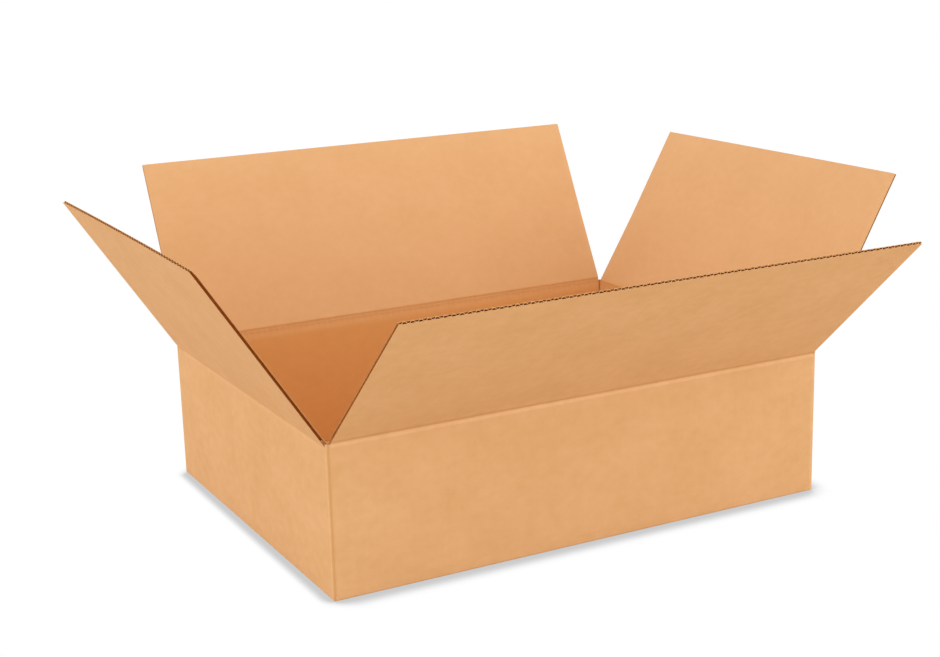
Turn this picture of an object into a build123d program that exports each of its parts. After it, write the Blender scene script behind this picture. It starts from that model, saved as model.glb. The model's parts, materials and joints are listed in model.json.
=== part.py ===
from build123d import *
import os

# Open regular slotted box of single-wall corrugated board, standing erected with its four top
# flaps leaning outwards. Millimetres, +Z up. The origin is at the middle of the underside, on
# the surface that the box stands on. The long walls are the front (-Y) and the back (+Y).

os.makedirs("parts", exist_ok=True)

# Room inside the closed box: a stock 24 x 18 x 6 inch size.
inside_length = 609.6
inside_width = 457.2
inside_height = 152.4

# The board: two flat liners with a wavy medium between them.
board = 4.0
liner = 0.45
medium = 0.4
flute_pitch = 8.2
crest = 1.6

# How far each top flap leans outwards from upright.
front_lean_angle = 47.0
back_lean_angle = 27.0
left_lean_angle = 33.0
right_lean_angle = 30.0

# Scores of the top flaps. The fold line runs just outside the outer liner. The board is crushed
# from the inside next to it, and its thin edge is bevelled so that the flap can fold in flat.
fold_offset = 0.15
fold_gap = 0.14
score_left = 1.2
score_land = 0.5
fold_clearance = 0.6

# Clearances between layers and edges.
layer_gap = 0.2
stack_clearance = 0.3
slot_clearance = 0.6
seam_gap = 0.5

# Folds at the bottom and at the four corners. Each corner is pinched along its inner score.
corner_radius = 3.0
pinch_reach = 2.4
pinch_depth = 1.9
bottom_radius = 2.5
short_fold_lift = 0.8
short_fold_radius = 1.5
bevel_clearance = 0.3

# Glued corner, at the left end of the back wall. The back wall folds into a tab, pressed thinner
# than the board, on the inside of the left wall, whose cut end stays in sight at the corner.
tab_width = 35.0
tab_thickness = 3.0
tab_taper = 9.0
tab_clearance = 2.0
cut_end_recess = 0.4

# Sizes that follow from the ones above.
outside_length = inside_length + 2 * board
outside_width = inside_width + 2 * board
slot_half = board + slot_clearance
upper_layer = board + layer_gap
floor_top = upper_layer + board
short_crease = floor_top + inside_height + board + fold_offset
long_crease = short_crease + board + stack_clearance
score_reach = fold_offset + board + fold_clearance
score_flat = fold_offset + score_left + fold_gap + score_land
flap_reach = outside_width / 2 + fold_offset - seam_gap / 2
bottom_reach = outside_width / 2 - seam_gap / 2
long_span = outside_length - 2 * slot_half
short_span = outside_width - 2 * slot_half
flute_start = score_reach + board / 2


def turned(shape, angle, distance):
    """Moves a front wall's piece to the wall at this angle round the box."""
    return Rot(0, 0, angle) * Pos(0, -distance, 0) * shape


def wall_top(crease):
    """Crushed top of a wall, from the outer face inwards: distance in, height."""
    return [
        (0, crease - fold_offset - fold_gap),
        (score_left, crease - fold_offset - score_left - fold_gap),
        (score_left, crease - score_flat),
        (board, crease - score_reach),
    ]


def along(points, span):
    """Extrudes a section of (distance in, height) points along the wall, half to each side."""
    return extrude(Plane.YZ * Polygon(*points, align=None), amount=span / 2, both=True)


def rounded_foot(wall, radius):
    """Rounds the outer lower edge, where the outer liner bends round the fold."""
    foot = wall.edges().filter_by(Axis.X).group_by(Axis.Y)[0].sort_by(Axis.Z)[0]
    return fillet(foot, radius)


def long_wall():
    """A long wall with its bottom flap folded in on the floor, as the lower layer."""
    foot = [(board, board), (bottom_reach, board), (bottom_reach, 0), (0, 0)]
    return rounded_foot(along(wall_top(long_crease) + foot, long_span), bottom_radius)


def short_wall():
    """A short wall whose bottom flap rises over the long walls' flaps, as the upper layer."""
    foot = [
        (board, upper_layer + score_left),
        (board + score_reach, floor_top),
        (bottom_reach, floor_top),
        (bottom_reach, upper_layer),
        (slot_half - bevel_clearance, upper_layer),
        (slot_half / 2, short_fold_lift),
        (0, short_fold_lift),
    ]
    return rounded_foot(along(wall_top(short_crease) + foot, short_span), short_fold_radius)


def corner_place(across, along_wall):
    """The place at this distance in from the left wall's and the back wall's outer faces."""
    return Pos(across - outside_length / 2, outside_width / 2 - along_wall)


def corner_folds():
    """What stands in the four corners between the slots: three folds and the glued corner."""
    low = short_fold_lift
    high = long_crease - fold_offset - fold_gap
    outline = RectangleRounded(outside_length, outside_width, corner_radius)
    outline += corner_place(slot_half / 2, slot_half / 2) * Rectangle(slot_half, slot_half)
    ring = outline - Rectangle(inside_length, inside_width)
    ring -= Rectangle(long_span, outside_width) + Rectangle(outside_length, short_span)
    return extrude(Pos(0, 0, low) * ring, amount=high - low)


def inner_scores():
    """Grooves that the scores leave in the inner corners, from the floor to the slots."""
    deep, wide = -pinch_depth, pinch_reach
    low = Pos(0, 0, floor_top + layer_gap)
    grooves = []
    for side in (-1, 1):
        for end in (-1, 1):
            tab = tab_thickness if (side, end) == (-1, 1) else 0
            corner = Pos(side * (inside_length / 2 - tab), end * inside_width / 2)
            points = [(wide, 0), (0, wide), (deep, deep)]
            groove = Polygon(*[(-side * x, -end * y) for x, y in points], align=None)
            grooves.append(extrude(low * corner * groove, amount=long_crease, dir=(0, 0, 1)))
    return grooves


def joint_groove():
    """Gap outside the glued corner: the back wall's fold rounds off before the cut end."""
    middle = corner_radius / 2
    gap = corner_place(board + middle, middle) * Rectangle(corner_radius, corner_radius)
    gap -= corner_place(board + corner_radius, corner_radius) * Circle(corner_radius)
    gap += corner_place(board / 2, cut_end_recess / 2) * Rectangle(board, cut_end_recess)
    return extrude(gap, amount=long_crease)


def glue_tab():
    """The end of the back wall, folded round the corner and glued inside the left wall."""
    low = floor_top + tab_clearance
    high = short_crease - score_reach - tab_clearance
    root = outside_width / 2 - board
    free = root - tab_width
    shape = Polygon(
        (root, low),
        (root, high),
        (free, high - tab_taper),
        (free, low + tab_taper),
        align=None,
    )
    return Pos(board - outside_length / 2, 0, 0) * extrude(Plane.YZ * shape, amount=tab_thickness)


def box_body():
    """Walls, closed bottom, corner folds and glue tab: one sheet, so one solid."""
    walls = [
        turned(long_wall(), 0, outside_width / 2),
        turned(long_wall(), 180, outside_width / 2),
        turned(short_wall(), -90, outside_length / 2),
        turned(short_wall(), 90, outside_length / 2),
    ]
    sheet = walls[0].fuse(*walls[1:], *corner_folds().solids(), glue_tab())
    return sheet.cut(*inner_scores(), *joint_groove().solids())


def channel(centre, widths, side):
    """One channel of the flute: points from its lower liner side to its upper one."""
    low = fold_offset + liner + (0 if widths[0] > widths[1] else medium)
    high = low + board - 2 * liner - medium
    return [(centre + side * widths[0], low), (centre + side * widths[1], high)]


def fluted_block(span):
    """The fluted part of a flap: alternate channels, with one cut open along each side edge."""
    count = round(2 * span / flute_pitch)
    step = span / count
    height = board - 2 * liner - medium
    wide = step - crest / 2
    slope = wide - crest / 2
    narrow = crest / 2 - medium * ((height**2 + slope**2) ** 0.5 - slope) / height
    outer, inner = fold_offset, fold_offset + board
    left, right = -span / 2, span / 2

    def widths(index):
        return (wide, narrow) if index % 2 == 0 else (narrow, wide)

    def open_channel(index, edge, side):
        rows = channel(edge, widths(index), side)
        return [(edge, rows[0][1]), *rows, (edge, rows[1][1])]

    rim = [(left, outer), (right, outer)] + open_channel(count, right, -1)
    rim += [(right, inner), (left, inner)] + open_channel(0, left, 1)[::-1]
    holes = []
    for index in range(1, count):
        centre = left + index * step
        ahead = channel(centre, widths(index), 1)
        behind = channel(centre, widths(index), -1)
        holes.append(Wire(Polyline(*ahead, *behind[::-1], close=True).edges()))
    section = Face(Wire(Polyline(*rim, close=True).edges()), holes)
    return extrude(Pos(0, 0, flute_start) * section, amount=flap_reach - flute_start)


def flap(span, angle, distance, crease, lean):
    """A top flap, folded outwards about its fold line from upright to where it rests."""
    root = [
        (fold_offset, fold_offset + fold_gap),
        (fold_offset, flute_start),
        (fold_offset + board, flute_start),
        (fold_offset + board, score_reach),
        (fold_offset + score_left, score_flat),
        (fold_offset + score_left, fold_offset + score_left + fold_gap),
    ]
    upright = along(root, span).fuse(fluted_block(span))
    leaning = Pos(0, -fold_offset, crease) * Rot(lean, 0, 0) * upright
    return turned(leaning, angle, distance)


def top_flaps():
    """The four top flaps by node name."""
    return {
        "front_flap": flap(long_span, 0, outside_width / 2, long_crease, front_lean_angle),
        "back_flap": flap(long_span, 180, outside_width / 2, long_crease, back_lean_angle),
        "left_flap": flap(short_span, -90, outside_length / 2, short_crease, left_lean_angle),
        "right_flap": flap(short_span, 90, outside_length / 2, short_crease, right_lean_angle),
    }


pieces = {"box_body": box_body(), **top_flaps()}
for name, shape in pieces.items():
    export_step(shape, f"parts/{name}.step")
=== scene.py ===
import json
import math
from types import SimpleNamespace

import bmesh
import bpy
import numpy as np
from mathutils import Matrix, Vector


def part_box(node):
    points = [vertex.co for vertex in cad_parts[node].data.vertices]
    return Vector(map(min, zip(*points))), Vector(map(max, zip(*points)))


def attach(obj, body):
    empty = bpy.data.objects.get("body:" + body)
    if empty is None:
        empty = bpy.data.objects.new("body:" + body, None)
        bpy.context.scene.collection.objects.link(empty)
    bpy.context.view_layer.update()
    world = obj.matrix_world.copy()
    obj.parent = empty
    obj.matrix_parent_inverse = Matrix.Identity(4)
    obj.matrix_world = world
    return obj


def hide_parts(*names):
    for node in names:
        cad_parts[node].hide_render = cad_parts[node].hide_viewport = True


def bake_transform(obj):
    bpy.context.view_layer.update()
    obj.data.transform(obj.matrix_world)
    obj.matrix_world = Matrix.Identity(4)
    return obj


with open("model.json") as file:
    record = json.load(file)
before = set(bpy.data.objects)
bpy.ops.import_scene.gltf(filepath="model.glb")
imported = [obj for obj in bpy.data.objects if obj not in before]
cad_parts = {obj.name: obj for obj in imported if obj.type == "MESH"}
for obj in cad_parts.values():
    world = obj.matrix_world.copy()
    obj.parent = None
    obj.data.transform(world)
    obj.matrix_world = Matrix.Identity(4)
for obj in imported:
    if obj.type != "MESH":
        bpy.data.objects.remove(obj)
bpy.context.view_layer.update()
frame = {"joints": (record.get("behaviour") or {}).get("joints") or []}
mm = 0.001

# The walls. One sheet of corrugated board, brown kraft paper on both faces, starts at the left wall's
# cut end and is folded at four scores pressed into its inside. The last fold turns into the tab that
# is glued inside the left wall.
board = 4.0 * mm
liner = 0.45 * mm
flute_pitch = 8.2 * mm
fold_offset = 0.15 * mm
fold_gap = 0.14 * mm
corner_radius = 3.0 * mm
pinch_reach = 2.4 * mm
pinch_depth = 1.9 * mm
tab_thickness = 3.0 * mm
cut_end_recess = 0.4 * mm
cut_end_gutter = 3.0 * mm
# The walls reach from the bottom folds up to the creases of the top flaps.
wall_low = 12.0 * mm
wall_high = 154.0 * mm
wall_step = 12.0 * mm
wall_sink = 0.6 * mm
fold_dent = 0.3 * mm
fold_dent_place = 0.6
closed_angle = 90.0
# The inner paper is laid out this far up the flat sheet, clear of the outer one.
inner_paper = 3.0
# A painted shade, darker and more golden, on the inner paper low inside the box stands in for light
# bounced between the walls; it fades out between these heights.
inner_shade_heights = (0.155, 0.175)

sides = {}
box_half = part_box("box_body")[1]
for joint in frame["joints"]:
    axis = Vector(joint["axis"])
    hinge = Vector(joint["pos_m"])
    along = Vector(map(abs, axis))
    flap_low, flap_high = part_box(joint["child"])
    out = hinge.xy.length - fold_offset
    turn = Matrix.Rotation(math.atan2(axis.y, axis.x), 4, "Z")
    sides[joint["child"].removesuffix("_flap")] = SimpleNamespace(
        body=joint["child"],
        stand=turn @ Matrix.Translation((0, -out, 0)),
        out=out,
        crease=hinge.z,
        half_run=along.dot(box_half),
        half_span=along.dot(flap_high - flap_low) / 2,
        lean=math.radians(-joint["range_deg"][0] - closed_angle),
    )
front, right, back, left = (sides[name] for name in ("front", "right", "back", "left"))
# How far along the flat sheet each wall's middle lies.
left.lay = 0.0
for side, before in ((front, left), (right, front), (back, right)):
    side.lay = before.lay + before.half_run + side.half_run


def node(tree, kind, inputs=(), **settings):
    """Adds a node. An input that is a socket is linked, and any other is set."""
    made = tree.nodes.new(kind)
    for key, value in settings.items():
        setattr(made, key, value)
    for key, value in dict(inputs).items():
        if isinstance(value, bpy.types.NodeSocket):
            tree.links.new(value, made.inputs[key])
        else:
            made.inputs[key].default_value = value
    return made


def calc(tree, operation, *values):
    """The result of a Math node."""
    return node(tree, "ShaderNodeMath", enumerate(values), operation=operation).outputs[0]


def noise(tree, place, stretch, detail, roughness=0.5):
    """Noise over the sheet, with this many features to the metre along it and up it, from -1 to 1."""
    scaled = node(tree, "ShaderNodeVectorMath", {0: place, 1: (*stretch, 1)}, operation="MULTIPLY")
    inputs = {"Vector": scaled.outputs[0], "Scale": 1.0, "Detail": detail, "Roughness": roughness}
    found = node(tree, "ShaderNodeTexNoise", inputs, noise_dimensions="2D")
    return calc(tree, "MULTIPLY_ADD", found.outputs["Fac"], 2.0, -1.0)


def linear(red, green, blue):
    """A colour as a screen shows it, from 0 to 255, turned into the light that it stands for."""
    shares = (red / 255, green / 255, blue / 255)
    return (*(((s + 0.055) / 1.055) ** 2.4 if s > 0.04045 else s / 12.92 for s in shares), 1.0)


def kraft_paper():
    """Paper on both faces of the board: long pulp fibres run round the box, across the flutes, in
    uneven clouds, and each flute below shows as a faint rise with a faint painted shade. Along the
    folds it carries painted light: a painted highlight above none and a painted shade below none."""
    material = bpy.data.materials.new("kraft paper")
    material.use_nodes = True
    tree = material.node_tree
    shader = tree.nodes["Principled BSDF"]
    place = node(tree, "ShaderNodeUVMap", uv_map="sheet").outputs[0]
    along, up, _ = node(tree, "ShaderNodeSeparateXYZ", {0: place}).outputs
    painted_shading = node(tree, "ShaderNodeAttribute", attribute_name="painted_shading").outputs["Fac"]
    blotches = noise(tree, place, (14, 19), 3)
    clouds = noise(tree, place, (70, 95), 3)
    fibres = noise(tree, place, (190, 1300), 5, 0.6)
    flutes = calc(tree, "COSINE", calc(tree, "MULTIPLY", along, 2 * math.pi / flute_pitch))
    # The inner paper is calmer than the outer one.
    inner = calc(tree, "GREATER_THAN", up, inner_paper / 2)
    calm = calc(tree, "MULTIPLY_ADD", inner, -0.4, 1.0)
    uneven = 0.0
    # The flutes' share of the colour is a faint painted shade, a stripe at each flute's pitch.
    for pattern, share in ((blotches, 0.2), (clouds, 0.2), (fibres, 0.12), (flutes, 0.008)):
        uneven = calc(tree, "MULTIPLY_ADD", pattern, share, uneven)
    # The painted shading raises the shade for a painted highlight and lowers it for a painted shade.
    shade = calc(tree, "MULTIPLY_ADD", uneven, calm, calc(tree, "MULTIPLY_ADD", painted_shading, 0.45, 0.5))
    papers = {"Factor": shade, "A": linear(212, 160, 103), "B": linear(236, 187, 138)}
    mixed = node(tree, "ShaderNodeMix", data_type="RGBA")
    for key, value in papers.items():
        socket = next(s for s in mixed.inputs if s.name == key and s.enabled)
        if isinstance(value, bpy.types.NodeSocket):
            tree.links.new(value, socket)
        else:
            socket.default_value = value
    colour = next(s for s in mixed.outputs if s.enabled)
    slivers = noise(tree, place, (420, 2600), 2)
    dark = {0: slivers, 1: 0.42, 2: 0.6, 3: 1.0, 4: 0.82}
    dark = node(tree, "ShaderNodeMapRange", dark).outputs[0]
    specked = node(tree, "ShaderNodeVectorMath", {0: colour, 3: dark}, operation="SCALE").outputs[0]
    # Painted shade: the inner paper low inside the box is darker and more golden than that of the
    # flaps, standing in for the warm light bounced between the walls.
    height = calc(tree, "SUBTRACT", up, inner_paper)
    inside = {0: height, 1: inner_shade_heights[0], 2: inner_shade_heights[1], 3: 1.0, 4: 0.0}
    inside = node(tree, "ShaderNodeMapRange", inside).outputs[0]
    inner_shade = {0: calc(tree, "MULTIPLY", inner, inside), 1: (0.02, -0.06, -0.28), 2: (1.0, 1.0, 1.0)}
    inner_shade_tint = node(tree, "ShaderNodeVectorMath", inner_shade, operation="MULTIPLY_ADD").outputs[0]
    inner_shaded = node(tree, "ShaderNodeVectorMath", {0: specked, 1: inner_shade_tint}, operation="MULTIPLY").outputs[0]
    tree.links.new(inner_shaded, shader.inputs["Base Color"])
    rough = {0: fibres, 1: -1.0, 2: 1.0, 3: 0.76, 4: 0.92}
    tree.links.new(node(tree, "ShaderNodeMapRange", rough).outputs[0], shader.inputs["Roughness"])
    rise = calc(tree, "MULTIPLY_ADD", flutes, 0.015, calc(tree, "MULTIPLY_ADD", fibres, 0.5, clouds))
    bump = node(tree, "ShaderNodeBump", {"Height": rise, "Strength": 0.3, "Distance": 0.05 * mm})
    tree.links.new(bump.outputs[0], shader.inputs["Normal"])
    shader.inputs["Specular IOR Level"].default_value = 0.25
    return material


def pulp_paper(name, dark, light):
    """Paper with no pressed face, coarse with loose fibres."""
    material = bpy.data.materials.new(name)
    material.use_nodes = True
    tree = material.node_tree
    shader = tree.nodes["Principled BSDF"]
    place = node(tree, "ShaderNodeTexCoord").outputs["Object"]
    found = node(tree, "ShaderNodeTexNoise", {"Vector": place, "Scale": 1400.0, "Detail": 3.0})
    ramp = node(tree, "ShaderNodeValToRGB", {0: found.outputs["Fac"]})
    ramp.color_ramp.elements[0].color = dark
    ramp.color_ramp.elements[0].position = 0.3
    ramp.color_ramp.elements[1].color = light
    ramp.color_ramp.elements[1].position = 0.7
    tree.links.new(ramp.outputs[0], shader.inputs["Base Color"])
    fuzz = {"Height": found.outputs["Fac"], "Strength": 0.6, "Distance": 0.1 * mm}
    tree.links.new(node(tree, "ShaderNodeBump", fuzz).outputs[0], shader.inputs["Normal"])
    shader.inputs["Roughness"].default_value = 0.95
    shader.inputs["Specular IOR Level"].default_value = 0.15
    return material


kraft = kraft_paper()
cut = pulp_paper("cut paper", linear(190, 132, 78), linear(238, 182, 124))
fluting = pulp_paper("fluting paper", linear(146, 76, 22), linear(188, 114, 48))


def placed(points, matrix):
    """These points, as an array, after the matrix."""
    turned = np.array(matrix)
    return points @ turned[:3, :3].T + turned[:3, 3]


def strip(section, stations, place, sheet, upright=False, painted_shading=0.0):
    """A closed strip of board. section(station) gives its outside and its inside line, point for
    point, and place puts a line where it belongs. sheet is where the strip starts on the flat sheet.
    The lines of an upright strip run round the box, and those of any other run up and down it.
    The last argument is the painted highlight and painted shade at each point of the outside and of the
    inside line."""
    points = np.array([[place(line, s) for line in section(s)] for s in stations])
    count, _, length, _ = points.shape
    index = np.arange(count * 2 * length).reshape(count, 2, length)

    def quads(*corners):
        return np.stack(corners, -1).reshape(-1, 4)

    papers = [
        quads(index[:-1, f, :-1], index[:-1, f, 1:], index[1:, f, 1:], index[1:, f, :-1])
        for f in (0, 1)
    ]
    cuts = [
        quads(index[:-1, 0, e], index[1:, 0, e], index[1:, 1, e], index[:-1, 1, e])
        for e in (0, -1)
    ]
    cuts += [
        quads(index[e, 0, :-1], index[e, 0, 1:], index[e, 1, 1:], index[e, 1, :-1])
        for e in (0, -1)
    ]
    path = np.linalg.norm(np.diff(points[0, 0], axis=0), axis=1)
    path = np.concatenate([[0.0], np.cumsum(path)])
    down, up = np.meshgrid(stations, path, indexing="ij")
    flat = np.stack([sheet[0] + up, down] if upright else [sheet[0] + down, sheet[1] + up], -1)
    layout = np.stack([flat, flat + [0, inner_paper]], 1)
    return SimpleNamespace(
        points=points.reshape(-1, 3),
        faces=np.concatenate(papers + cuts),
        slots=np.repeat([0, 1], [sum(map(len, papers)), sum(map(len, cuts))]),
        layout=layout.reshape(-1, 2),
        painted_shading=np.broadcast_to(painted_shading, (count, 2, length)).ravel(),
    )


def finished(mesh, name):
    """The object for a mesh: smooth faces, with hard edges where the board is cut or folded."""
    mesh.shade_smooth()
    mesh.set_sharp_from_angle(angle=math.radians(35))
    piece = bpy.data.objects.new(name, mesh)
    bpy.context.scene.collection.objects.link(piece)
    return piece


def board_piece(name, strips):
    """One piece made of closed strips."""
    starts = np.cumsum([0] + [len(s.points) for s in strips])
    faces = np.concatenate([s.faces + start for s, start in zip(strips, starts)])
    mesh = bpy.data.meshes.new(name)
    mesh.from_pydata(np.concatenate([s.points for s in strips]).tolist(), [], faces.tolist())
    mesh.materials.append(kraft)
    mesh.materials.append(cut)
    slots = np.concatenate([s.slots for s in strips]).astype(np.int32)
    mesh.polygons.foreach_set("material_index", slots)
    layout = np.concatenate([s.layout for s in strips])
    layout = layout[faces.ravel()].astype(np.float32)
    mesh.uv_layers.new(name="sheet").uv.foreach_set("vector", layout.ravel())
    painted_shading = np.concatenate([s.painted_shading for s in strips]).astype(np.float32)
    mesh.attributes.new("painted_shading", "FLOAT", "POINT").data.foreach_set("value", painted_shading)
    work = bmesh.new()
    work.from_mesh(mesh)
    bmesh.ops.recalc_face_normals(work, faces=work.faces)
    work.to_mesh(mesh)
    work.free()
    return finished(mesh, name)


def hump(values, middle, half):
    """A smooth rise to 1 at the middle, gone at half on each side."""
    share = np.clip((values - middle) / half, -1, 1)
    return (1 - share**2) ** 2


def fold_painted_shading(turn):
    """Painted highlight and shade across a fold, from -1 at its start to 1 at its end: highlight before
    its ridge, shade after.
    """
    return 0.6 * hump(turn, -0.5, 0.4) - 1.25 * hump(turn, 0.25, 0.45)


def corner(side, reach=None, tab=False):
    """Outside and inside lines of the fold after a wall, pinched inwards by its score, in the wall's
    own run and depth. reach is how far they run along each wall. Before the tab, the fold stands in
    from the left wall by the board."""
    edge = side.half_run - (board if tab else 0)
    second = tab_thickness if tab else board
    ahead = reach or second + pinch_reach
    beyond = reach or board + pinch_reach
    angles = np.linspace(-math.pi / 2, 0, 9)
    middle = np.array([edge - corner_radius, corner_radius])
    arc = middle + corner_radius * np.stack([np.cos(angles), np.sin(angles)], 1)
    before = np.linspace(edge - ahead, arc[0, 0], 5)[:-1]
    after = np.linspace(arc[-1, 1], beyond, 5)[1:]
    outside = [[run, 0] for run in before] + arc.tolist() + [[edge, depth] for depth in after]
    tip = np.array([edge - second + pinch_depth, board - pinch_depth])
    mouths = np.array([[edge - second - pinch_reach, board], [edge - second, board + pinch_reach]])
    first = (edge - ahead - mouths[0, 0]) / (tip[0] - mouths[0, 0])
    last = (beyond - mouths[1, 1]) / (tip[1] - mouths[1, 1])
    starts = [mouths[0] + (tip - mouths[0]) * first, mouths[1] + (tip - mouths[1]) * last]
    turns = np.linspace(-1, 1, len(outside))
    inside = [tip + (starts[int(t > 0)] - tip) * abs(t) for t in turns]
    return np.array(outside), np.array(inside)


def on_plan(side, line):
    """A line of run and depth at a wall, as places in the box's plan."""
    flat = np.column_stack([line, np.zeros(len(line))])
    return placed(flat, side.stand)[:, :2]


def sheet_lines(start):
    """The whole sheet in plan, from this far along the left wall: its outside and inside lines, the
    ways in which its walls sink between the folds and its folds are dented, and the painted highlight
    and shade along its folds."""
    outside, inside, sinks, dents, fold_shading = [], [], [], [], []
    for side, after in ((left, front), (front, right), (right, back), (back, left)):
        fold = corner(side, tab=side is back)
        end = fold[1][0, 0]
        runs = np.linspace(start, end, math.ceil((end - start) / wall_step) + 1)
        runs = runs[:-1] if side is left else runs[1:-1]
        for found, lines, depth in ((outside, fold[0], 0), (inside, fold[1], board)):
            flat = np.column_stack([runs, np.full(len(runs), depth)])
            found.append(on_plan(side, np.concatenate([flat, lines])))
        onwards, inwards = np.array(side.stand)[:2, :2].T
        sink = np.sin(math.pi * (runs - start) / (end - start)) ** 2
        sinks.append(np.append(sink, np.zeros(len(fold[0])))[:, None] * inwards)
        turn = np.append(np.full(len(runs), -1.0), np.linspace(-1, 1, len(fold[0])))
        dent = hump(np.abs(turn), fold_dent_place, 1 - fold_dent_place)
        dents.append(dent[:, None] * np.where(turn[:, None] < 0, inwards, -onwards))
        fold_shading.append(fold_painted_shading(turn))
        start = fold[1][-1, 1] - after.half_run
    return [np.concatenate(parts) for parts in (outside, inside, sinks, dents, fold_shading)]


cut_end = -left.half_run + cut_end_recess
core_end = cut_end + cut_end_gutter
outside, inside, sinks, dents, fold_shading = sheet_lines(core_end)


def wall_lines(height):
    """Outside and inside lines of the sheet at a height. The walls sink a little in the middle."""
    share = (height - wall_low) / (wall_high - wall_low)
    sunk = sinks * wall_sink * math.sin(math.pi * share) ** 2
    dented = dents * fold_dent * (1 - abs(2 * share - 1) ** 6)
    return outside + sunk + dented, inside + sunk


def upright_place(line, height):
    """Puts a line of the plan at a height."""
    return np.column_stack([line, np.full(len(line), height)])


heights = np.linspace(wall_low, wall_high, 15)
# The outer paper of each corner fold carries a painted highlight and a painted shade; the inner one
# none.
shading_paint = np.stack([fold_shading, fold_shading * 0])
walls = [strip(wall_lines, heights, upright_place, (core_end, 0), upright=True, painted_shading=shading_paint)]
# The two papers of the left wall's cut end stand out past the wavy paper between them.
for shares in ((0, liner / board), (1 - liner / board, 1)):
    end = [on_plan(left, np.array([[cut_end, s * board], [core_end, s * board]])) for s in shares]
    walls.append(strip(lambda s: end, heights, upright_place, (cut_end, 0), upright=True))

# The corner folds between the slots. They are the same sheet, left standing where the slots end, so
# that their tops show the board cut across, two papers with a hollow between them. At the glued
# corner it is the left wall's cut end that stands there.
slot_half = 4.6 * mm
fold_lift = 0.8 * mm
foot_rounding = 0.8 * mm
foot_draw = 0.25
post_top = front.crease - fold_offset - fold_gap
post_hollow = 1.6 * mm


def between(outside, inside, low, high):
    """The lines of one layer of the board, from this share of its thickness to that one."""
    return outside + (inside - outside) * low, outside + (inside - outside) * high


def fold_layers(papers, core, heights, core_top, sheet, painted_shading):
    """The outer paper, the core and the inner paper of a corner fold between these heights, each a
    closed strip. The fold is drawn in at its foot."""
    flat = liner / board
    made = []
    for low, high, lines, top in (
        (0, flat, papers, heights[-1]),
        (flat, 1 - flat, core, core_top),
        (1 - flat, 1, papers, heights[-1]),
    ):

        def layer(height):
            drawn_in = foot_draw * max(0.0, 1 - (height - fold_lift) / foot_rounding)
            return between(*lines, drawn_in + (1 - drawn_in) * low, drawn_in + (1 - drawn_in) * high)

        stations = [*heights[:-1], top]
        # Only the outer paper carries the painted highlight and shade.
        shading_paint = 0.0 if low else painted_shading
        made.append(strip(layer, stations, upright_place, sheet, upright=True, painted_shading=shading_paint))
    return made


def post(papers, core, sheet, painted_shading=0.0):
    """A corner fold above the walls, with its hollow top, and its foot below them."""
    foot = [fold_lift, fold_lift + foot_rounding / 2, fold_lift + foot_rounding, wall_low]
    top = fold_layers(papers, core, [wall_high, post_top], post_top - post_hollow, sheet, painted_shading)
    return top + fold_layers(papers, core, foot, wall_low, sheet, painted_shading)


for side in (left, front, right):
    lines = [on_plan(side, line) for line in corner(side, slot_half)]
    # The posts carry the same painted highlight and shade as their folds.
    shading_paint = fold_painted_shading(np.linspace(-1, 1, len(lines[0])))
    walls += post(lines, lines, (side.lay + side.half_run, 0), np.stack([shading_paint, shading_paint * 0]))
slot_edge = -left.half_run + slot_half
end_papers, end_core = (
    [on_plan(left, np.array([[start, depth], [slot_edge, depth]])) for depth in (0, board)]
    for start in (cut_end, core_end)
)
walls += post(end_papers, end_core, (cut_end, 0))

# The bottom folds. Each wall turns in at its foot: the long walls flat on the floor, the short ones
# over them with a joggle, as their flaps close first and lie inside.
fold_seam = 15.0 * mm
layer_gap = 0.2 * mm
upper_layer = board + layer_gap
bottom_radius = 2.5 * mm
short_fold_radius = 1.5 * mm
inner_radius = 0.7 * mm
joggle_start = 2.3 * mm
joggle_end = 4.3 * mm
joggle_inner = (5.2 * mm, 6.4 * mm)
joggle_inner_start = 5.0 * mm
joggle_inner_end = 8.75 * mm


def rounded(corners, radii, steps=6):
    """A line through these corners, each rounded by its radius."""
    corners = np.array(corners, float)
    line = [corners[0]]
    for before, here, after, radius in zip(corners, corners[1:], corners[2:], radii):
        back_way = (before - here) / np.linalg.norm(before - here)
        on_way = (after - here) / np.linalg.norm(after - here)
        half = math.acos(np.clip(back_way @ on_way, -1, 1)) / 2
        bisector = (back_way + on_way) / np.linalg.norm(back_way + on_way)
        middle = here + bisector * radius / math.sin(half)
        spread = math.pi / 2 - half
        side_way = (on_way - back_way) / np.linalg.norm(on_way - back_way)
        for angle in np.linspace(-spread, spread, steps):
            line.append(middle + radius * (-bisector * math.cos(angle) + side_way * math.sin(angle)))
    line.append(corners[-1])
    return np.array(line)


def side_place(side):
    """Puts a line of depths and heights at this place along a wall."""
    def place(line, station):
        return placed(np.column_stack([np.full(len(line), station), line]), side.stand)
    return place


long_fold = (
    rounded([(0, wall_low), (0, 0), (fold_seam, 0)], [bottom_radius]),
    rounded([(board, wall_low), (board, board), (fold_seam, board)], [inner_radius]),
)
short_fold_outside = [
    (0, wall_low),
    (0, fold_lift),
    (joggle_start, fold_lift),
    (joggle_end, upper_layer),
    (fold_seam, upper_layer),
]
short_fold_inside = [
    (board, wall_low),
    (board, joggle_inner_start),
    joggle_inner,
    (joggle_inner_end, upper_layer + board),
    (fold_seam, upper_layer + board),
]
short_fold = (
    rounded(short_fold_outside, [short_fold_radius, inner_radius, inner_radius]),
    rounded(short_fold_inside, [inner_radius, inner_radius, bottom_radius]),
)
for side, fold in ((front, long_fold), (back, long_fold), (left, short_fold), (right, short_fold)):
    runs = np.linspace(-side.half_span, side.half_span, 40)
    walls.append(strip(lambda s: fold, runs, side_place(side), (side.lay, -fold_seam)))
carton_walls = board_piece("carton_walls", walls)
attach(carton_walls, "box_body")
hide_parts("box_body")

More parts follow.
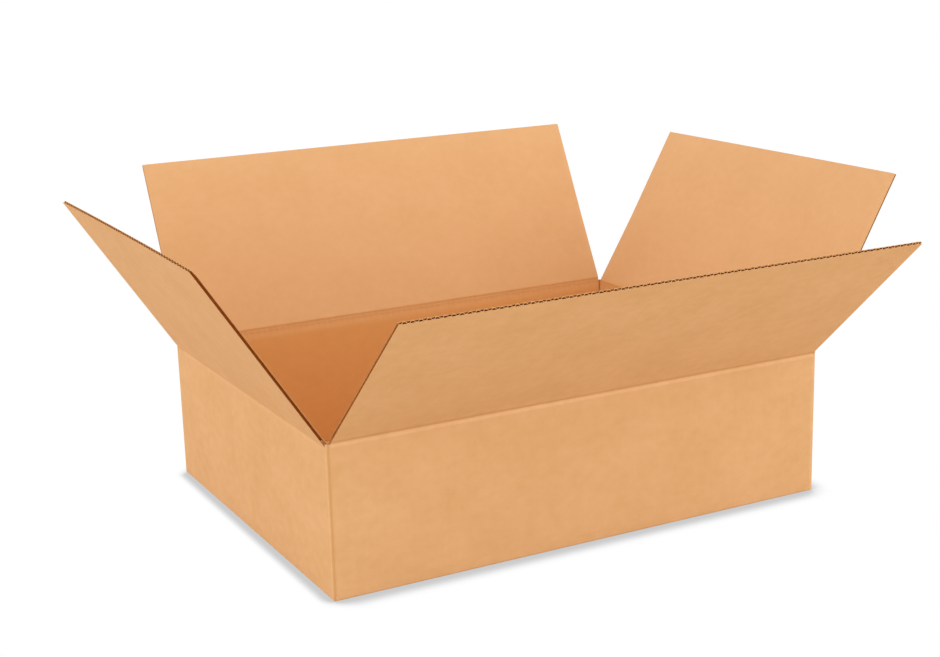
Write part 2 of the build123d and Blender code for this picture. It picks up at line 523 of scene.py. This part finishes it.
# The glue tab. The back wall's end is pressed thinner, tapered at both ends so that it clears the
# flaps, and glued flat inside the left wall.
tab_width = 35.0 * mm
tab_taper = 9.0 * mm
tab_edge = 1.4 * mm
tab_glue = 0.02 * mm
tab_root = board + pinch_reach
tab_steps = np.array([0, 0.5, 0.9, 0.96, 1.0])
tab_swell = np.array([1, 1, 1, 0.85, tab_edge / tab_thickness])


def tab_section(height):
    """Glued and free lines of the tab at a height, across its width."""
    share = (height - wall_low) / (wall_high - wall_low)
    cut_back = max(0.0, 1 - min(share, 1 - share) * (wall_high - wall_low) / tab_taper)
    width = (board + tab_width - tab_root) * (1 - cut_back)
    reach = tab_root + width * tab_steps + tab_glue * tab_steps
    glued = np.column_stack([np.full(len(reach), back.half_run - board), reach])
    free = np.column_stack([back.half_run - board - tab_thickness * tab_swell, reach])
    return on_plan(back, glued), on_plan(back, free)


tab_ends = np.linspace(0, tab_taper, 5)
tab_heights = np.concatenate([wall_low + tab_ends, wall_high - tab_ends[::-1]])
tab_start = (back.lay + back.half_run, 0)
tab_board = strip(tab_section, tab_heights, upright_place, tab_start, upright=True)
glue_tab = board_piece("glue_tab", [tab_board])
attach(glue_tab, "box_body")

# The bottom flaps. Each is its wall's own board, cut free by a slot at both sides and folded in. The
# long ones are glued under the short ones. Where two flaps meet, their edges show the row of flutes
# end on: a wavy paper glued between two flat ones.
medium = 0.65 * mm
flute_softness = 0.25
wave_steps = 8
paper_columns = 37
edge_crush_reach = 7.0 * mm
slot_crush_reach = 5.0 * mm
slot_crush_fade = 20.0 * mm
meeting_gap = 0.5 * mm
# The bottom flaps are laid out this far down the flat sheet.
bottom_paper = -1.0


def flute_tree():
    """Two flat papers with a wave between them. X runs along the crease, Y along the flutes, and Z
    outwards from the outer face. The board bows towards its free edge."""
    tree = bpy.data.node_groups.new("fluted board", "GeometryNodeTree")
    tree.is_modifier = True
    sockets = {
        "NodeSocketFloat": (
            "Span", "Start", "Reach", "Board", "Liner", "Medium", "Half Wave", "Phase", "Gutter",
            "Edge Crush", "Side Crush", "Bow", "Sheet U", "Sheet V", "Inner Paper",
        ),
        "NodeSocketInt": ("Wave Points", "Rows"),
        "NodeSocketMaterial": ("Flat Paper", "Wavy Paper", "Cut Paper"),
    }
    for kind, names in sockets.items():
        for name in names:
            tree.interface.new_socket(name=name, in_out="INPUT", socket_type=kind)
    tree.interface.new_socket(name="Board", in_out="OUTPUT", socket_type="NodeSocketGeometry")
    given = tree.nodes.new("NodeGroupInput").outputs
    span, start, reach = given["Span"], given["Start"], given["Reach"]
    thick, flat, wavy = given["Board"], given["Liner"], given["Medium"]
    half_span = calc(tree, "MULTIPLY", span, 0.5)
    depth = calc(tree, "SUBTRACT", reach, start)
    middle_y = calc(tree, "MULTIPLY", calc(tree, "ADD", reach, start), 0.5)
    place = node(tree, "GeometryNodeInputPosition").outputs[0]
    at = node(tree, "ShaderNodeSeparateXYZ", {0: place}).outputs

    def paper(width, thickness, columns, height):
        """One flat paper, upright in the middle of its depth."""
        size = node(tree, "ShaderNodeCombineXYZ", {0: width, 1: depth, 2: thickness}).outputs[0]
        counts = {"Size": size, "Vertices X": columns, "Vertices Y": given["Rows"], "Vertices Z": 2}
        sheet = node(tree, "GeometryNodeMeshCube", counts).outputs["Mesh"]
        move = node(tree, "ShaderNodeCombineXYZ", {1: middle_y, 2: height}).outputs[0]
        moved = {"Geometry": sheet, "Translation": move}
        return node(tree, "GeometryNodeTransform", moved).outputs[0]

    def shifted(mesh, x=0.0, y=0.0, z=0.0):
        """The mesh with its points moved by these sockets."""
        offset = node(tree, "ShaderNodeCombineXYZ", {0: x, 1: y, 2: z}).outputs[0]
        moved = {"Geometry": mesh, "Offset": offset}
        return node(tree, "GeometryNodeSetPosition", moved).outputs[0]

    def drawn_out(value, low, high, power):
        """Draws evenly spaced places together towards the far end, and gives how far each moves."""
        width = calc(tree, "SUBTRACT", high, low)
        share = calc(tree, "DIVIDE", calc(tree, "SUBTRACT", high, value), width)
        moved = calc(tree, "POWER", calc(tree, "MAXIMUM", share, 0.0), power)
        return calc(tree, "MULTIPLY", calc(tree, "SUBTRACT", share, moved), width)

    def near(value, reach_in, limit):
        """Smooth rise from none this far before a limit to 1 at it."""
        rise = {0: value, 1: calc(tree, "SUBTRACT", limit, reach_in), 2: limit}
        return node(tree, "ShaderNodeMapRange", rise, interpolation_type="SMOOTHSTEP").outputs[0]

    # The flat papers have more points near the side edges.
    outer_height = calc(tree, "MULTIPLY", flat, -0.5)
    inner_height = calc(tree, "SUBTRACT", calc(tree, "MULTIPLY", flat, 0.5), thick)
    outwards = drawn_out(calc(tree, "ABSOLUTE", at[0]), 0.0, half_span, 2.0)
    outwards = calc(tree, "MULTIPLY", outwards, calc(tree, "SIGN", at[0]))
    outer = shifted(paper(span, flat, paper_columns, outer_height), x=outwards)
    inner = shifted(paper(span, flat, paper_columns, inner_height), x=outwards)

    # The wavy paper starts a little in from the side edges, and leaves the flutes there open. Each
    # flute is squarer than a sine, with steeper sides and a flatter crest.
    wave_span = calc(tree, "MULTIPLY_ADD", given["Gutter"], -2.0, span)
    wave = paper(wave_span, wavy, given["Wave Points"], 0.0)
    along = calc(tree, "MULTIPLY_ADD", wave_span, 0.5, at[0])
    angle = calc(tree, "DIVIDE", along, given["Half Wave"])
    angle = calc(tree, "MULTIPLY_ADD", angle, math.pi, given["Phase"])
    papers = calc(tree, "MULTIPLY_ADD", flat, -2.0, calc(tree, "SUBTRACT", thick, wavy))
    swing = calc(tree, "MULTIPLY", papers, -0.5)
    steep = calc(tree, "DIVIDE", calc(tree, "MULTIPLY", swing, -math.pi), given["Half Wave"])
    cosine = calc(tree, "COSINE", angle)
    squared = calc(tree, "MULTIPLY_ADD", cosine, cosine, flute_softness)
    inverse = calc(tree, "INVERSE_SQRT", squared)
    top = math.sqrt(1 + flute_softness)
    bent = calc(tree, "MULTIPLY", calc(tree, "MULTIPLY", cosine, inverse), top)
    slope = calc(tree, "MULTIPLY", calc(tree, "SINE", angle), calc(tree, "POWER", inverse, 3.0))
    slope = calc(tree, "MULTIPLY", calc(tree, "MULTIPLY", slope, top * flute_softness), steep)
    share = calc(tree, "INVERSE_SQRT", calc(tree, "MULTIPLY_ADD", slope, slope, 1.0))
    off = calc(tree, "MULTIPLY", at[2], share)
    wave_x = calc(tree, "MULTIPLY", calc(tree, "MULTIPLY", off, slope), -1.0)
    wave_z = calc(tree, "SUBTRACT", calc(tree, "MULTIPLY_ADD", bent, swing, off), at[2])
    wave_z = calc(tree, "MULTIPLY_ADD", thick, -0.5, wave_z)
    wave = shifted(wave, x=wave_x, z=wave_z)
    marks = {"Geometry": wave, "Name": "wavy", "Value": 1.0}
    kinds = {"data_type": "FLOAT", "domain": "POINT"}
    wave = node(tree, "GeometryNodeStoreNamedAttribute", marks, **kinds).outputs[0]

    # All three have more points near the free edge.
    join = tree.nodes.new("GeometryNodeJoinGeometry")
    for part in (wave, inner, outer):
        tree.links.new(part, join.inputs[0])
    graded = shifted(join.outputs[0], y=drawn_out(at[1], start, reach, 3.0))

    # Each point's place on the flat sheet, the inner papers apart from the outer one.
    deep = calc(tree, "LESS_THAN", at[2], calc(tree, "MULTIPLY", thick, -0.5))
    place_u = calc(tree, "ADD", at[0], given["Sheet U"])
    place_v = calc(tree, "ADD", at[1], given["Sheet V"])
    place_v = calc(tree, "MULTIPLY_ADD", deep, given["Inner Paper"], place_v)
    flat_place = node(tree, "ShaderNodeCombineXYZ", {0: place_u, 1: place_v}).outputs[0]
    kinds = {"data_type": "FLOAT2", "domain": "CORNER"}
    mapped = node(tree, "GeometryNodeStoreNamedAttribute", {"Name": "sheet"}, **kinds)
    tree.links.new(graded, mapped.inputs["Geometry"])
    value = next(s for s in mapped.inputs if s.name == "Value" and s.enabled)
    tree.links.new(flat_place, value)

    # The middle of the free edge bows out, or in where the bow is below none.
    middle = calc(tree, "DIVIDE", at[0], half_span)
    arch = calc(tree, "SUBTRACT", 1.0, calc(tree, "MULTIPLY", middle, middle))
    arch = calc(tree, "MULTIPLY", arch, given["Bow"])
    lift = calc(tree, "MULTIPLY", arch, near(at[1], depth, reach))

    # The knives that cut the edges crush them. The slots' crush dies out towards the crease.
    slot_side = near(calc(tree, "ABSOLUTE", at[0]), slot_crush_reach, half_span)
    fade = near(at[1], slot_crush_fade, calc(tree, "ADD", start, slot_crush_fade))
    slot_side = calc(tree, "MULTIPLY", slot_side, fade)
    crush = calc(tree, "MULTIPLY", near(at[1], edge_crush_reach, reach), given["Edge Crush"])
    crush = calc(tree, "MAXIMUM", crush, calc(tree, "MULTIPLY", slot_side, given["Side Crush"]))
    lift = calc(tree, "MULTIPLY_ADD", at[2], calc(tree, "MULTIPLY", crush, -1.0), lift)
    bowed = shifted(mapped.outputs[0], z=lift)

    real = node(tree, "GeometryNodeRealizeInstances", {0: bowed}).outputs[0]
    papered = {"Geometry": real, "Material": given["Flat Paper"]}
    real = node(tree, "GeometryNodeSetMaterial", papered).outputs[0]
    found = node(tree, "GeometryNodeInputNamedAttribute", {"Name": "wavy"}, data_type="FLOAT")
    normal = node(tree, "GeometryNodeInputNormal").outputs[0]
    facing = node(tree, "ShaderNodeSeparateXYZ", {0: normal}).outputs
    is_wavy = calc(tree, "GREATER_THAN", found.outputs[0], 0.5)
    is_side = calc(tree, "GREATER_THAN", calc(tree, "ABSOLUTE", facing[0]), 0.7)
    is_end = calc(tree, "GREATER_THAN", calc(tree, "ABSOLUTE", facing[1]), 0.7)
    for chosen, name in ((is_side, "Cut Paper"), (is_wavy, "Wavy Paper"), (is_end, "Cut Paper")):
        papered = {"Geometry": real, "Selection": chosen, "Material": given[name]}
        real = node(tree, "GeometryNodeSetMaterial", papered).outputs[0]
    tree.links.new(real, tree.nodes.new("NodeGroupOutput").inputs[0])
    return tree


fluted_board = flute_tree()


def board_mesh(
    name, side, start, reach, sheet_up, phase=0.0, gutter=0.0, crush=(0.0, 0.0), bow=0.0, rows=2
):
    """Mesh of a wall's fluted board, flat and with its outer face at no height. It is as wide as the
    flap of that side, and runs from the start to the reach along its flutes."""
    span = 2 * side.half_span
    wave_span = span - 2 * gutter
    halves = 2 * round(wave_span / flute_pitch)
    sizes = {
        "Span": span, "Start": start, "Reach": reach, "Board": board, "Liner": liner,
        "Medium": medium, "Half Wave": wave_span / halves, "Phase": phase, "Gutter": gutter,
        "Edge Crush": crush[0], "Side Crush": crush[1], "Bow": bow,
        "Sheet U": side.lay, "Sheet V": sheet_up, "Inner Paper": inner_paper,
        "Wave Points": halves * wave_steps + 1, "Rows": rows,
        "Flat Paper": kraft, "Wavy Paper": fluting, "Cut Paper": cut,
    }
    carrier = bpy.data.objects.new(name, bpy.data.meshes.new(name))
    bpy.context.scene.collection.objects.link(carrier)
    flutes = carrier.modifiers.new("flutes", "NODES")
    flutes.node_group = fluted_board
    for socket in fluted_board.interface.items_tree:
        if socket.in_out == "INPUT":
            flutes[socket.identifier] = sizes[socket.name]
    seen = carrier.evaluated_get(bpy.context.evaluated_depsgraph_get())
    mesh = bpy.data.meshes.new_from_object(seen)
    bpy.data.objects.remove(carrier)
    mesh.name = name
    return mesh


def joined(meshes, name):
    """One mesh of several."""
    work = bmesh.new()
    for mesh in meshes:
        work.from_mesh(mesh)
    whole = bpy.data.meshes.new(name)
    work.to_mesh(whole)
    work.free()
    for material in meshes[0].materials:
        whole.materials.append(material)
    return whole


bottom_reach = front.out - meeting_gap / 2
for name, pair, level in (
    ("lower_bottom_flaps", (front, back), 0.0),
    ("upper_bottom_flaps", (left, right), upper_layer),
):
    meshes = []
    for side in pair:
        mesh = board_mesh(name, side, fold_seam, bottom_reach, bottom_paper)
        lying = Matrix.Translation((0, 0, level)) @ Matrix.Rotation(math.pi, 4, "Y")
        mesh.transform(side.stand @ lying)
        meshes.append(mesh)
    piece = finished(joined(meshes, name), name)
    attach(piece, "box_body")

# The top flaps and their creases, of the same sheet. The outer paper bends round the fold line and
# bulges in a bead below it. The inner paper is pressed in by the score, deeper over each flute. Each
# crease carries a painted highlight below its fold line and a painted shade above it, strongest at the
# front, and a painted shade along the inner score. The knives crushed the cut edges.
flap_seam = 7.0 * mm
free_edge_clearance = 0.6 * mm
flap_reach = front.out + fold_offset - meeting_gap / 2 - free_edge_clearance
flap_bow = {"front": -0.3 * mm, "back": -0.4 * mm, "left": -0.9 * mm, "right": -0.8 * mm}
flute_phase = {"front": math.pi / 2, "back": 0.0, "left": 0.0, "right": math.pi / 2}
flute_gutter = {"front": 0.0, "back": 1.0 * mm, "left": 2.5 * mm, "right": 0.0}
side_crush = {"front": 0.25, "back": 0.3, "left": 0.0, "right": 0.6}
edge_crush = 0.22
bend_half = {"front": 3.0 * mm, "back": 3.0 * mm, "left": 5.5 * mm, "right": 3.0 * mm}
blend_half = 5.0 * mm
valley_depth = 1.4 * mm
valley_place = 0.4 * mm
valley_below = 12.0 * mm
valley_above = 2.4 * mm
bead_height = {"front": 0.4 * mm, "back": 0.4 * mm, "left": 0.1 * mm, "right": 0.4 * mm}
bead_place = -3.4 * mm
bead_half = 2.6 * mm
bead_fade = 9.0 * mm
# How strong the painted highlight and shade on each crease's outside are.
crease_shading = {"front": 1.0, "back": 0.5, "left": 0.2, "right": 0.5}
# Each is a height from the fold line, and how far the painted mark reaches to both sides of it: a
# painted highlight on the wall below the fold, a painted shade on the flap above it, and a painted
# shade along the inner score.
painted_highlight = (-2.4 * mm, 3.2 * mm)
painted_crease_shade = (2.6 * mm, 4.4 * mm)
painted_score_shade = (0.6 * mm, 3.5 * mm)
crease_step = flute_pitch / 6


def waver(station):
    """Slow unevenness of a crease along its length, from -1 to 1."""
    slow = 0.5 * math.sin(station * 37 + 1.0) + 0.3 * math.sin(station * 91 + 2.2)
    return slow + 0.2 * math.sin(station * 213)


def crease_lines(side, bend, bead_rise):
    """Gives outside and inside lines of a crease by place along it, as depth and height from the fold
    line, and the heights at which its board is drawn while it is flat."""
    tall = side.crease - wall_high
    below = np.linspace(-tall, -flap_seam, 4)[:-1]
    heights = np.concatenate([below, np.linspace(-flap_seam, flap_seam, 31)])
    fold = np.clip((heights + bend) / (2 * bend), 0, 1)
    turned = fold * fold * (3 - 2 * fold) * side.lean
    start_of_fold = side.half_run - board - corner_radius

    def lines(station):
        flute = math.cos(2 * math.pi * station / flute_pitch)
        uneven = waver(station + side.lay)
        fade = min(1.0, (side.half_span - abs(station)) / bead_fade)
        bead = bead_rise * fade * (1 + 0.12 * flute + 0.3 * uneven)
        valley = valley_depth * (1 + 0.06 * flute + 0.05 * uneven)
        flank = np.where(heights < valley_place, valley_below, valley_above)
        outer = fold_offset - bead * hump(heights, bead_place, bead_half)
        inner = fold_offset + board - valley * hump(heights, valley_place, flank)
        # The back wall's end rolls over into the glued corner's fold.
        if side is back and station > start_of_fold:
            gone = min(station - start_of_fold, corner_radius)
            rolled = corner_radius - math.sqrt(corner_radius**2 - gone**2)
            outer = outer + rolled * (1 - fold)
        return [
            np.column_stack([
                depth * np.cos(turned) - heights * np.sin(turned),
                depth * np.sin(turned) + heights * np.cos(turned),
            ])
            for depth in (outer, inner)
        ]

    return lines, heights


for name, side in sides.items():
    hinge = side.stand @ Matrix.Translation((0, -fold_offset, side.crease))
    lines, heights = crease_lines(side, bend_half[name], bead_height[name])
    # Outside, a painted highlight below the fold and a painted shade above it; inside, a painted shade
    # along the score.
    outer_shading = hump(heights, *painted_highlight) - hump(heights, *painted_crease_shade)
    outer_shading = 0.9 * crease_shading[name] * outer_shading
    shading_paint = np.stack([outer_shading, -0.5 * hump(heights, *painted_score_shade)])
    crease_start = (side.lay, wall_high)

    def crease_place(line, station):
        return placed(np.column_stack([np.full(len(line), station), line]), hinge)

    inner_end = side.half_span - cut_end_gutter
    stations = np.linspace(-inner_end, inner_end, math.ceil(2 * inner_end / crease_step))
    strips = [strip(lines, stations, crease_place, crease_start, painted_shading=shading_paint)]
    # At the slots the papers stand out past the wavy paper.
    for end in (-1, 1):
        for low, high in ((0, liner / board), (1 - liner / board, 1)):
            stations = np.linspace(inner_end, side.half_span, 3) * end
            paper = strip(
                lambda s: between(*lines(s), low, high),
                stations, crease_place, crease_start, painted_shading=shading_paint,
            )
            strips.append(paper)
    crease = board_piece(f"{name}_crease", strips)
    half_lean = side.lean / 2
    way = hinge.to_3x3() @ Vector((0, -math.sin(half_lean), math.cos(half_lean))) * blend_half
    side.body
    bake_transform(crease)

    mesh = board_mesh(
        name, side, flap_seam, flap_reach, side.crease,
        phase=flute_phase[name], gutter=flute_gutter[name], crush=(edge_crush, side_crush[name]),
        bow=flap_bow[name], rows=7,
    )
    face = Matrix.Rotation(math.pi / 2, 4, "X") @ Matrix.Translation((0, 0, -fold_offset))
    mesh.transform(hinge @ Matrix.Rotation(side.lean, 4, "X") @ face)
    flap = finished(mesh, f"{name}_flap_board")
    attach(flap, side.body)
    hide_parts(side.body)

# The studio: a wide white floor under even light, and the camera where the photograph was taken from.
# The floor lies a hair above the underside of the box, so that neither flickers through the other.
floor_half = 30.0
floor_height = 0.02 * mm
shadow_reach = (0.0155, 0.034)
shadow_change = 0.02
shadow_dark = 0.6
shadow_open = (0.58, 0.97)


def seen_directly(tree):
    """1 for a ray from the camera, or on from a glossy or clear surface, and 0 for any other."""
    ray = node(tree, "ShaderNodeLightPath").outputs
    mirrored = calc(tree, "MAXIMUM", ray["Is Glossy Ray"], ray["Is Transmission Ray"])
    return calc(tree, "MAXIMUM", ray["Is Camera Ray"], mirrored)


def floor_paper():
    """White floor. Seen from the camera it is mostly plain white, and darkens close to the box."""
    material = bpy.data.materials.new("studio floor")
    material.use_nodes = True
    tree = material.node_tree
    shader = tree.nodes["Principled BSDF"]
    shader.inputs["Base Color"].default_value = (0.71, 0.65, 0.56, 1)
    shader.inputs["Roughness"].default_value = 0.9
    shader.inputs["Specular IOR Level"].default_value = 0.0
    # The shadow beside the box reaches further in front of it than on its left.
    place = node(tree, "ShaderNodeTexCoord").outputs["Object"]
    across = node(tree, "ShaderNodeSeparateXYZ", {0: place}).outputs[0]
    reach = {0: across, 1: -left.out - shadow_change, 2: -left.out + shadow_change}
    reach |= {3: shadow_reach[0], 4: shadow_reach[1]}
    reach = node(tree, "ShaderNodeMapRange", reach).outputs[0]
    open_sky = node(tree, "ShaderNodeAmbientOcclusion", {"Distance": reach}, samples=16).outputs["AO"]
    shadow = {0: open_sky, 1: shadow_open[0], 2: shadow_open[1], 3: shadow_dark, 4: 1.0}
    white = node(tree, "ShaderNodeMapRange", shadow, interpolation_type="SMOOTHSTEP").outputs[0]
    glow = node(tree, "ShaderNodeEmission", {"Color": (1, 1, 1, 1), "Strength": white})
    parts = {0: seen_directly(tree), 1: shader.outputs[0], 2: glow.outputs[0]}
    mixed = node(tree, "ShaderNodeMixShader", parts)
    tree.links.new(mixed.outputs[0], tree.nodes["Material Output"].inputs["Surface"])
    return material


floor_corners = ((-1, -1), (1, -1), (1, 1), (-1, 1))
floor_mesh = bpy.data.meshes.new("studio_floor")
floor_mesh.from_pydata(
    [(x * floor_half, y * floor_half, floor_height) for x, y in floor_corners], [], [(0, 1, 2, 3)]
)
floor_mesh.materials.append(floor_paper())
floor = bpy.data.objects.new("studio_floor", floor_mesh)
bpy.context.scene.collection.objects.link(floor)

world = bpy.data.worlds.new("studio")
bpy.context.scene.world = world
world.use_nodes = True
tree = world.node_tree
sky_level = 1.02
lit = tree.nodes["Background"]
lit.inputs["Color"].default_value = (1, 1, 1, 1)
lit.inputs["Strength"].default_value = sky_level
white = node(tree, "ShaderNodeBackground", {"Color": (1, 1, 1, 1), "Strength": 1.0})
parts = {0: seen_directly(tree), 1: lit.outputs[0], 2: white.outputs[0]}
mixed = node(tree, "ShaderNodeMixShader", parts)
tree.links.new(mixed.outputs[0], tree.nodes["World Output"].inputs["Surface"])

lamp_size = 1.6
lamp_distance = 2.8
lamp_aim = Vector((0, 0, 0.15))


def heading(azimuth, elevation):
    """The way from the box to a place round it, from the front at none, in degrees."""
    turned, raised = math.radians(azimuth), math.radians(elevation)
    level = math.cos(raised)
    return Vector((math.sin(turned) * level, -math.cos(turned) * level, math.sin(raised)))


def softbox(name, azimuth, elevation, power):
    """A large square lamp that faces the box."""
    data = bpy.data.lights.new(name, "AREA")
    data.size = lamp_size
    data.energy = power
    lamp = bpy.data.objects.new(name, data)
    way = heading(azimuth, elevation)
    lamp.location = lamp_aim + way * lamp_distance
    lamp.rotation_euler = (-way).to_track_quat("-Z", "Y").to_euler()
    bpy.context.scene.collection.objects.link(lamp)


softbox("front left lamp", -68, 8, 7.5)
softbox("back left lamp", -115, 25, 9.5)
softbox("front lamp", 18, 6, 13.5)
softbox("right lamp", 80, 25, 14)

camera_aim = Vector((-0.0069, 0.0285, 0.1876))
camera_distance = 1.980
camera_azimuth = -27.73
camera_elevation = 14.57
camera_roll = math.radians(-1.57)
camera_lens = 62.77
way = heading(camera_azimuth, camera_elevation)
level = (-way).to_track_quat("-Z", "Y")
camera = bpy.data.objects.new("camera", bpy.data.cameras.new("camera"))
camera.location = camera_aim + way * camera_distance
camera.rotation_mode = "QUATERNION"
camera.rotation_quaternion = level @ Matrix.Rotation(camera_roll, 3, "Z").to_quaternion()
camera.data.sensor_width = 36.0
camera.data.lens = camera_lens
bpy.context.scene.collection.objects.link(camera)
bpy.context.scene.camera = camera
bpy.context.scene.view_settings.view_transform = "Standard"
